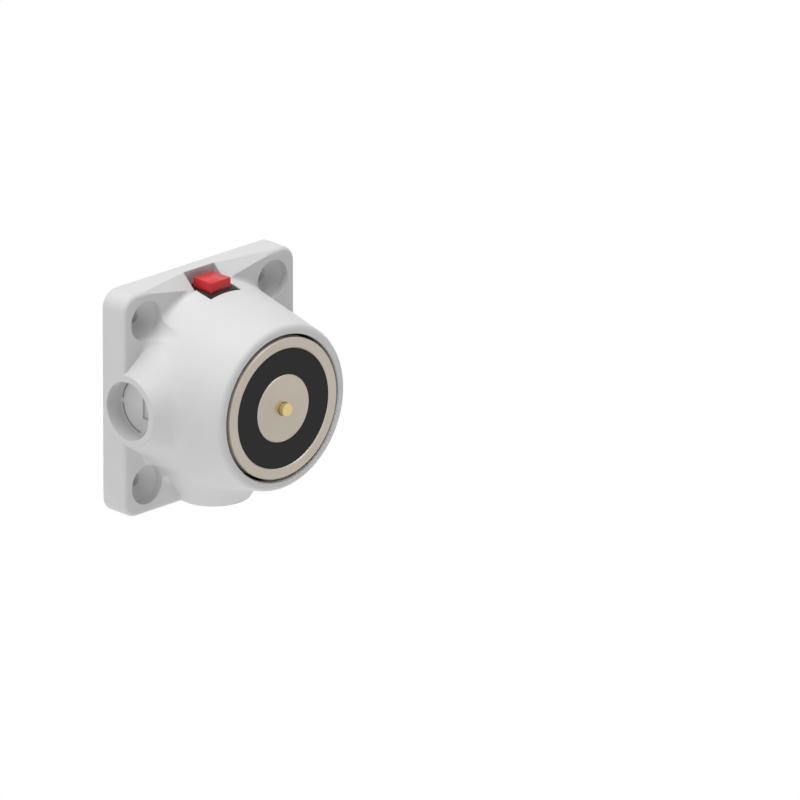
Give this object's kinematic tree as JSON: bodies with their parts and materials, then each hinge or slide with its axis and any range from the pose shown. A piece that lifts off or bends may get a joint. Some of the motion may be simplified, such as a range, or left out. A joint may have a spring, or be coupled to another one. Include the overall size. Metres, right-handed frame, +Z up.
{
  "type": "electromagnetic door holder",
  "caption": "Wall unit of an electromagnetic door lock: white housing, round pot magnet with sprung ejector pin, red release button and side cable entries.",
  "frame": {"origin": "centre of the square base on the wall plane, in the middle of the four wall screws", "axes": "+Z up, the magnet's face looks along -Y, +Y points into the wall, +X to the right seen from the front"},
  "size_m": [0.08, 0.0487, 0.08],
  "materials": {
    "white_plastic": "moulded, fine satin",
    "zinc_steel": "galvanised",
    "yellow_zinc": "yellow zinc plated",
    "magnet_steel": "ground, satin",
    "bobbin_plastic": "moulded nylon",
    "copper_wire": "enamelled wire",
    "black_resin": "cast resin, satin",
    "screw_steel": "zinc plated",
    "pin_brass": "turned",
    "spring_steel": "drawn wire",
    "red_plastic": "moulded, satin gloss",
    "black_plastic": "moulded, gloss",
    "contact_brass": "plain",
    "board_green": "solder mask",
    "terminal_green": "moulded",
    "diode_black": "moulded",
    "tinned_wire": "tinned",
    "lead_red": "insulated wire",
    "lead_blue": "insulated wire"
  },
  "bodies": {
    "unit": {"housing": "white_plastic", "wall_plate": "zinc_steel", "cover_screws": "yellow_zinc", "magnet_bracket": "zinc_steel", "bracket_rivets": "zinc_steel", "magnet_pot": "magnet_steel", "magnet_core": "magnet_steel", "coil_bobbin": "bobbin_plastic", "coil_winding": "copper_wire", "resin_ring": "black_resin", "magnet_screw": "screw_steel", "lock_washer": "screw_steel", "ejector_spring": "spring_steel", "button_bezel": "black_plastic", "switch_body": "black_plastic", "switch_spring": "spring_steel", "switch_terminals": "contact_brass", "circuit_board": "board_green", "board_spacers": "contact_brass", "board_screws": "screw_steel", "terminal_block": "terminal_green", "terminal_screws": "screw_steel", "diode": "diode_black", "diode_wires": "tinned_wire", "coil_leads": "lead_red", "switch_leads": "lead_blue"},
    "ejector": {"ejector_pin": "pin_brass"},
    "button": {"button_cap": "red_plastic"}
  },
  "joints": [
    {"name": "ejector_slide", "type": "slide", "parent": "unit", "child": "ejector", "axis": [0, 1, 0], "range_m": [0, 0.002], "stiffness_N_per_m": 2500, "springref_m": -0.004, "deforming": ["ejector_spring"]},
    {"name": "button_slide", "type": "slide", "parent": "unit", "child": "button", "axis": [0, 0, -1], "range_m": [0, 0.0015], "stiffness_N_per_m": 900, "springref_m": -0.0012, "deforming": ["switch_spring"]}
  ]
}
